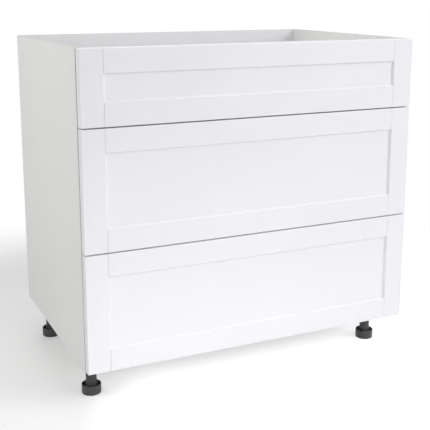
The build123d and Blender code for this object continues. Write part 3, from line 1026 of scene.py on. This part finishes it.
@dataclass(frozen=True)
class PanHeadScrew(SmallPart):
    """Pan-head screw with a cross recess and a rolled thread."""

    finish: Finish = SCREW_ZINC
    segments: int = 14
    head_radius: float = 0.0036
    head_height: float = 0.002
    head_round: float = 0.0013
    shank_radius: float = 0.00175
    core_radius: float = 0.00125
    length: float = 0.013
    tip: float = 0.003
    pitch: float = 0.0016

    def profile(self) -> Profile:
        """Draw the screw.

        Returns:
            Its outline, from the top of the head to the tip.
        """
        bend = self.head_round
        crown = arc((self.head_radius - bend, self.head_height - bend), bend, 90, 0)
        points = [(0.0, self.head_height), *crown, (self.head_radius, 0.0), (self.core_radius, 0.0)]
        depth = 0.0
        while depth + self.pitch < self.length - self.tip:
            points.append((self.shank_radius, -depth - self.pitch / 2))
            depth += self.pitch
            points.append((self.core_radius, -depth))
        return [*points, (self.core_radius, self.tip - self.length), (0.0, -self.length)]

    def recess(self) -> float:
        """Height of the driver recess, at the top of the head."""
        return self.head_height


@dataclass(frozen=True)
class Bumper(SmallPart):
    """Domed self-adhesive bumper."""

    finish: Finish = BUMPER_GEL
    segments: int = 20
    radius: float = 0.004
    height: float = 0.0022
    edge_share: float = 0.35
    steps: int = 5

    def profile(self) -> Profile:
        """Draw the bumper.

        Returns:
            Its outline, from the top of the dome to the middle of its base.
        """
        turns = [math.pi / 2 * step / self.steps for step in range(self.steps + 1)]
        levels = [self.edge_share + (1 - self.edge_share) * math.cos(turn) for turn in turns]
        dome = [(self.radius * math.sin(turn), self.height * level) for turn, level in zip(turns, levels)]
        return [*dome, (self.radius, 0.0), (0.0, 0.0)]


@dataclass(frozen=True)
class LevellingFoot:
    """Cup foot with a stepped hub and a threaded spindle, turned in one piece."""

    cup_radius: float = 0.0245
    cup_height: float = 0.024
    cup_wall: float = 0.0024
    cup_floor: float = 0.005
    bottom_round: float = 0.0025
    lip_round: float = 0.0008
    hub_radius: float = 0.018
    hub_step: float = 0.017
    hub_neck: float = 0.0146
    hub_top: float = 0.0277
    core_radius: float = 0.0062
    spindle_top: float = 0.062
    thread_pitch: float = 0.003
    segments: int = 64

    def profile(self) -> Profile:
        """Draw the foot.

        Returns:
            Its outline, from the middle of the sole to the top of the spindle, as (radius, height).
        """
        lip = self.lip_round
        inner = self.cup_radius - self.cup_wall
        slope = self.hub_radius - self.hub_neck
        return [
            (0.0, 0.0),
            *arc((self.cup_radius - self.bottom_round, self.bottom_round), self.bottom_round, -90, 0, 6),
            *arc((self.cup_radius - lip, self.cup_height - lip), lip, 0, 90),
            *arc((inner + lip, self.cup_height - lip), lip, 90, 180),
            *arc((inner - lip, self.cup_floor + lip), lip, 0, -90),
            *arc((self.hub_radius + lip, self.cup_floor + lip), lip, -90, -180),
            *arc((self.hub_radius - lip, self.hub_step - lip / 2), lip, 0, 60),
            *arc((self.hub_neck + lip, self.hub_step + slope), lip, 225, 180, 2),
            *arc((self.hub_neck - lip, self.hub_top - lip), lip, 0, 90),
            (self.core_radius, self.hub_top),
            (self.core_radius, self.spindle_top - lip),
            (self.core_radius - lip, self.spindle_top),
            (0.0, self.spindle_top),
        ]

    def stand(self, name: str, axis: Vector) -> bpy.types.Object:
        """Make one foot.

        Args:
            name: its name.
            axis: where it meets the floor.

        Returns:
            The object.
        """
        return ThreadedPart.grow(
            name,
            turned_mesh(name, self.profile(), self.segments),
            LEG_PLASTIC,
            axis=axis,
            thread_start=self.hub_top + self.thread_pitch / 2,
            thread_length=self.spindle_top - self.hub_top - self.thread_pitch,
            thread_radius=self.core_radius,
            thread_pitch=self.thread_pitch,
        )


# Sub-assemblies


@dataclass
class SubAssembly:
    """Pieces that are made and dressed together."""

    pieces: list[str] = field(default_factory=list)

    def dress(self, finish: Finish, *nodes: str) -> None:
        """Give CAD nodes their finish.

        Args:
            finish: the finish.
            *nodes: the nodes' names.
        """
        for node in nodes:
            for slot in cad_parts[node].material_slots:
                slot.material = finish.material()
            self.pieces.append(node)
            log.info("%s: %s", node, finish.name)

    def dress_board(self, finish: BoardFinish, thin: Thin, *nodes: str) -> None:
        """Give boards their finish, each fitted to its own size.

        Args:
            finish: the finish.
            thin: the axis across the boards' thickness.
            *nodes: the boards' CAD nodes.
        """
        for node in nodes:
            self.dress(finish.fitted(node, thin), node)

    def settle(self, piece: bpy.types.Object, body: str, slot: str, *nodes: str) -> None:
        """Tie a finished piece to its body.

        Args:
            piece: the piece.
            body: the CAD body it moves with.
            slot: the record's material slot for the piece; not used.
            *nodes: the CAD nodes that it stands for.
        """
        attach(piece, body)
        if nodes:
            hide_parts(*nodes)
        self.pieces.append(piece.name)
        log.info("%s: %d faces on %s", piece.name, len(piece.data.polygons), body)


@dataclass
class LegSet(SubAssembly):
    """Four adjustable legs: socket, fluted stem and levelling foot."""

    foot: LevellingFoot = LevellingFoot()
    screw_circle: float = 0.024
    plug_and_flange: float = 0.014
    gusset_bite: float = 0.0002

    def axis(self, place: Place, height: float = 0.0) -> Vector:
        """A point on a leg's axis, at the floor unless a height is given."""
        low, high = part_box(f"leg_socket_{place.value}")
        return Vector(((low[0] + high[0]) / 2, (low[1] + high[1]) / 2, height))

    def under_flange(self, place: Place) -> float:
        """Height of the underside of a socket's flange."""
        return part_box(f"leg_socket_{place.value}")[1][2] - self.plug_and_flange

    def socket_seats(self, place: Place) -> list[Seat]:
        """Seats of the four screws under a socket's flange.

        Args:
            place: the leg.

        Returns:
            The seats.
        """
        middle = self.axis(place, self.under_flange(place))
        turns = [math.radians(45 + 90 * quarter) for quarter in range(4)]
        offsets = [Vector((math.cos(turn), math.sin(turn), 0)) * self.screw_circle for turn in turns]
        return [Seat(middle + offset, DOWN) for offset in offsets]

    def build(self) -> None:
        """Make the feet and the sockets' gussets."""
        for place in Place:
            piece = self.foot.stand(f"turned_foot_{place.value}", self.axis(place))
            self.settle(piece, f"foot_{place.value}", "leg_plastic", f"leg_foot_{place.value}")
        tops = [self.axis(place, self.under_flange(place) + self.gusset_bite) for place in Place]
        mesh = bpy.data.meshes.new("leg_gussets")
        mesh.from_pydata(tops, [], [])
        self.settle(GussetRings.grow("leg_gussets", mesh, LEG_PLASTIC), "carcass", "leg_plastic")

    def finish(self) -> None:
        """Dress the sockets and stems."""
        for place in Place:
            self.dress(LEG_PLASTIC, f"leg_socket_{place.value}", f"leg_stem_{place.value}")


@dataclass
class Carcass(SubAssembly):
    """Boards, back panel, cabinet runners, fasteners and bumpers."""

    legs: LegSet = field(default_factory=LegSet)
    screw: PanHeadScrew = PanHeadScrew()
    bumper: Bumper = Bumper()
    sheet: float = 0.0012
    runner_screws: tuple[float, ...] = (0.037, 0.261, 0.453)
    runner_screw_height: float = 0.024
    bumper_inset: float = 0.02
    board: float = 0.016
    screw_seed: int = 11
    bumper_seed: int = 3

    def build(self) -> None:
        """Make the screws and bumpers."""
        screws = self.screw.set_on("carcass_screws", self.screw_seats(), self.screw_seed)
        self.settle(screws, "carcass", "screw_steel", "panel_screws")
        bumpers = self.bumper.set_on("carcass_bumpers", self.bumper_seats(), self.bumper_seed)
        self.settle(bumpers, "carcass", "bumper", "bumpers")

    def screw_seats(self) -> list[Seat]:
        """Place the screws.

        Returns:
            Seats of the runners' and leg sockets' screws.
        """
        seats = []
        for level in Level:
            low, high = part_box(f"{level.value}_cabinet_runners")
            height = low[2] + self.runner_screw_height
            for side in SIDES.values():
                x = side * (high[0] - self.sheet)
                seats += [Seat((x, low[1] + y, height), (-side, 0.0, 0.0)) for y in self.runner_screws]
        for place in Place:
            seats += self.legs.socket_seats(place)
        return seats

    def bumper_seats(self) -> list[Seat]:
        """Place the bumpers on the edge of the carcass.

        Returns:
            Their seats, one near each corner of every front.
        """
        seats = []
        edge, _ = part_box("side_panel_left")
        for level in Level:
            bottom, top = (corner[2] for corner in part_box(f"{level.value}_front_stiles"))
            for height in (bottom + self.bumper_inset, top - self.bumper_inset):
                for side in SIDES.values():
                    seats.append(Seat((side * (-edge[0] - self.board / 2), edge[1], height), FORWARDS))
        return seats

    def finish(self) -> None:
        """Dress the boards and hardware."""
        self.dress_board(CARCASS_BOARD, Thin.X, *(f"side_panel_{hand}" for hand in SIDES))
        self.dress_board(CARCASS_BOARD, Thin.Z, "bottom_panel")
        self.dress_board(CARCASS_BOARD, Thin.Y, "front_rail", "back_rail")
        self.dress_board(BACK_BOARD, Thin.Y, "back_panel")
        self.dress(CAST_ZINC, "cam_locks")
        self.dress(SCREW_ZINC, "cam_bolts")
        self.dress(BEECH, "dowels")
        self.dress(RUNNER_ZINC, *(f"{level.value}_cabinet_runners" for level in Level))


@dataclass
class Drawer(SubAssembly):
    """One drawer: framed front, steel-sided box, brackets, screws and its runner members."""

    level: Level = Level.UPPER
    screw: PanHeadScrew = PanHeadScrew()
    flange_line: float = 0.025
    inner_half: float = 0.434
    board: float = 0.016
    screw_inset: float = 0.0085
    end_inset: float = 0.04
    plate: float = 0.0015
    sheet: float = 0.001
    first_seed: int = 20

    def node(self, part: str) -> str:
        """The name of one of this drawer's nodes."""
        return f"{self.level.value}_{part}"

    def build(self) -> None:
        """Make the drawer's screws."""
        seed = self.first_seed + list(Level).index(self.level)
        screws = self.screw.set_on(self.node("box_screws"), self.screw_seats(), seed)
        self.settle(screws, self.node("drawer"), "screw_steel", self.node("drawer_screws"))

    def screw_seats(self) -> list[Seat]:
        """Place the screws through the front brackets and the sides' rear and lower flanges.

        Returns:
            Their seats.
        """
        plate_low, plate_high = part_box(self.node("front_brackets"))
        side_low, side_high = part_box(self.node("box_side_left"))
        heights = (plate_low[2] + self.board + self.screw_inset, plate_high[2] - self.screw_inset)
        front, rear, end = side_low[1], side_high[1], side_high[1] - self.sheet
        lengths = (front + self.end_inset, (front + end) / 2, end - self.end_inset)
        seats = []
        for side in SIDES.values():
            x = side * (self.inner_half - self.flange_line)
            for height in heights:
                for y in (plate_low[1] + self.plate, rear):
                    seats.append(Seat((x, y, height), BACKWARDS))
            seats += [Seat((x, y, side_low[2]), DOWN) for y in lengths]
        return seats

    def finish(self) -> None:
        """Dress the front, box and runners."""
        self.dress(FRONT_FOIL, self.node("front_stiles"), self.node("front_panel"))
        self.dress(RAIL_FOIL, self.node("front_rails"))
        self.dress(DRAWER_COAT, *(self.node(f"box_side_{hand}") for hand in SIDES))
        self.dress_board(DRAWER_BOARD, Thin.Z, self.node("box_bottom"))
        self.dress_board(DRAWER_BOARD, Thin.Y, self.node("box_back"))
        self.dress(BRACKET_COAT, self.node("front_brackets"))
        self.dress(RUNNER_ZINC, self.node("drawer_runners"), self.node("telescope_runners"))


# Studio

COOL: Colour = (0.975, 0.965, 1.0)
PALE: Colour = (0.985, 0.975, 1.0)
WARM: Colour = (1.0, 0.99, 0.96)


@dataclass(frozen=True)
class Softbox:
    """A rectangular area lamp, of so many watts, which may be left out of reflections."""

    name: str
    place: Triple
    target: Triple
    size: Pair
    watts: float
    colour: Colour = WHITE
    spread: float = 180.0
    glossy: bool = True

    def hang(self) -> None:
        """Put the lamp in the scene."""
        lamp = bpy.data.lights.new(self.name, "AREA")
        lamp.shape = "RECTANGLE"
        lamp.size, lamp.size_y = self.size
        lamp.spread = math.radians(self.spread)
        lamp.energy = self.watts
        lamp.color = self.colour
        holder = bpy.data.objects.new(self.name, lamp)
        holder.location = self.place
        aim = Vector(self.target) - Vector(self.place)
        holder.rotation_euler = aim.to_track_quat("-Z", "Y").to_euler()
        holder.visible_camera = False
        holder.visible_glossy = self.glossy
        bpy.context.scene.collection.objects.link(holder)


@dataclass
class Studio:
    """Camera, pale floor and soft light.

    The floor glows evenly for the camera, and more in front, on the right and near it, which is painted light
    that lightens the cabinet's shadow there. Each fade gives the places along X or Y between which that
    painted light begins or ends, and white_from the distances from the middle between which the floor turns
    white. Heading is to the right of +Y, pitch is downwards, both in degrees.
    """

    eye: Triple = (-0.9619, -2.0958, 0.987)
    heading: float = 25.12
    pitch: float = 11.6
    lens: float = 70.7
    shift_up: float = -0.12
    ambient: float = 0.4
    floor_half: float = 9.0
    floor_colour: Colour = (0.88, 0.88, 0.88)
    floor_roughness: float = 0.9
    floor_specular: float = 0.1
    floor_glow: float = 0.16
    # Painted light: extra glow that lightens the cabinet's shadow on the floor in front, on the right and near
    # it.
    painted_light_glow: float = 0.55
    white_from: Pair = (0.85, 1.5)
    front_fade: Pair = (-0.3, 0.06)
    left_fade: Pair = (-0.5, -0.22)
    right_fade: Pair = (0.35, 0.8)
    near_fade: Pair = (-0.8, -0.34)
    lamps: tuple[Softbox, ...] = (
        Softbox("key", (2.0, -2.8, 1.9), (0.0, -0.2, 0.3), (1.4, 1.4), 37.2, COOL),
        Softbox("brow", (0.1, -1.0, 1.9), (0.0, -0.3, 0.6), (1.2, 0.6), 1.05, PALE, 110.0),
        Softbox("top", (0.2, -0.2, 1.9), (0.0, -0.1, 0.0), (1.6, 1.0), 0.95, PALE, 120.0),
        Softbox("left", (-2.2, 0.1, 2.3), (-0.4, 0.0, 1.0), (1.2, 1.2), 3.6, WARM, 62.0, glossy=False),
        Softbox("right low", (2.4, -2.0, 2.2), (0.2, -0.4, -0.2), (1.2, 1.2), 1.9, spread=60.0),
        Softbox("front low", (-0.9, -2.9, 1.0), (-0.45, -0.5, -0.2), (1.4, 1.0), 2.35, spread=50.0),
        Softbox("back", (0.6, 2.8, 1.8), (0.0, 0.2, 0.4), (2.0, 1.4), 12.5, glossy=False),
    )

    def set_camera(self) -> None:
        """Stand the camera where the photograph was taken from."""
        view = bpy.data.cameras.new("camera")
        view.lens = self.lens
        view.shift_y = self.shift_up
        holder = bpy.data.objects.new("camera", view)
        holder.location = self.eye
        holder.rotation_euler = Euler((math.radians(90 - self.pitch), 0, -math.radians(self.heading)))
        bpy.context.scene.collection.objects.link(holder)
        bpy.context.scene.camera = holder

    def lay_floor(self) -> None:
        """Lay the floor, whose colour fades to white away from the cabinet for the camera."""
        mesh = bpy.data.meshes.new("floor")
        half = self.floor_half
        corners = [(-half, -half, 0), (half, -half, 0), (half, half, 0), (-half, half, 0)]
        mesh.from_pydata(corners, [], [(0, 1, 2, 3)])
        mesh.materials.append(self.floor_material())
        floor = bpy.data.objects.new("floor", mesh)
        bpy.context.scene.collection.objects.link(floor)

    def floor_material(self) -> bpy.types.Material:
        """Build the floor's material.

        Returns:
            A matt surface that glows a little for the camera, with painted light that lightens the cabinet's
            shadow in front, on the right and near it, and is white far out.
        """
        made = bpy.data.materials.new("floor")
        floor = Surface(made)
        floor.set(base_color=self.floor_colour, roughness=self.floor_roughness)
        floor.shader.inputs["Specular IOR Level"].default_value = self.floor_specular
        matt = floor.shader.outputs[0]
        x, y, _ = floor.split(floor.position)
        # Painted light: masks of where the extra glow lightens the cabinet's shadow on the floor.
        in_front = floor.remap(y, *self.front_fade, 1.0, 0.0)
        front = floor.math("MULTIPLY", in_front, floor.remap(x, *self.left_fade))
        right = floor.remap(x, *self.right_fade)
        near = floor.remap(y, *self.near_fade, 1.0, 0.0)
        painted_light_mask = floor.fold("MAXIMUM", (front, right, near))
        strength = floor.math("MULTIPLY_ADD", painted_light_mask, self.painted_light_glow, self.floor_glow)
        glow = floor.out("ShaderNodeEmission", {"Color": WHITE, "Strength": strength})
        white = floor.out("ShaderNodeEmission", {"Color": WHITE, "Strength": 1.0})
        seen = floor.seen_by("Camera", "Glossy")
        far = floor.remap(floor.vector("LENGTH", floor.position, pick="Value"), *self.white_from)
        lit = floor.out("ShaderNodeAddShader", {0: matt, 1: glow})
        close = floor.out("ShaderNodeMixShader", {0: seen, 1: matt, 2: lit})
        whole = floor.out("ShaderNodeMixShader", {0: floor.math("MULTIPLY", far, seen), 1: close, 2: white})
        floor.feed(floor.tree.nodes["Material Output"].inputs[0], whole)
        return made

    def set_world(self) -> None:
        """Light the room softly, and show white where the camera sees past the floor."""
        world = bpy.data.worlds.new("studio")
        world.use_nodes = True
        wiring = Wiring(world.node_tree)
        wiring.tree.nodes.clear()
        seen = wiring.seen_by("Camera", "Glossy", "Transmission")
        room = wiring.out("ShaderNodeBackground", {"Color": WHITE, "Strength": self.ambient})
        white = wiring.out("ShaderNodeBackground", {"Color": WHITE, "Strength": 1.0})
        mix = wiring.out("ShaderNodeMixShader", {0: seen, 1: room, 2: white})
        wiring.node("ShaderNodeOutputWorld", {0: mix})
        bpy.context.scene.world = world

    def build(self) -> None:
        """Set up the camera, floor, world and lamps."""
        bpy.context.scene.view_settings.view_transform = "Standard"
        self.set_camera()
        self.lay_floor()
        self.set_world()
        for lamp in self.lamps:
            lamp.hang()


def main() -> None:
    """Build and dress the cabinet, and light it."""
    logging.basicConfig(level=logging.INFO, format="%(message)s")
    legs = LegSet()
    parts: list[SubAssembly] = [Carcass(legs=legs), legs, *(Drawer(level=level) for level in Level)]
    for part in parts:
        part.build()
        part.finish()
        log.info("%s: %d pieces", type(part).__name__, len(part.pieces))
    Studio().build()


if __name__ == "__main__":
    main()
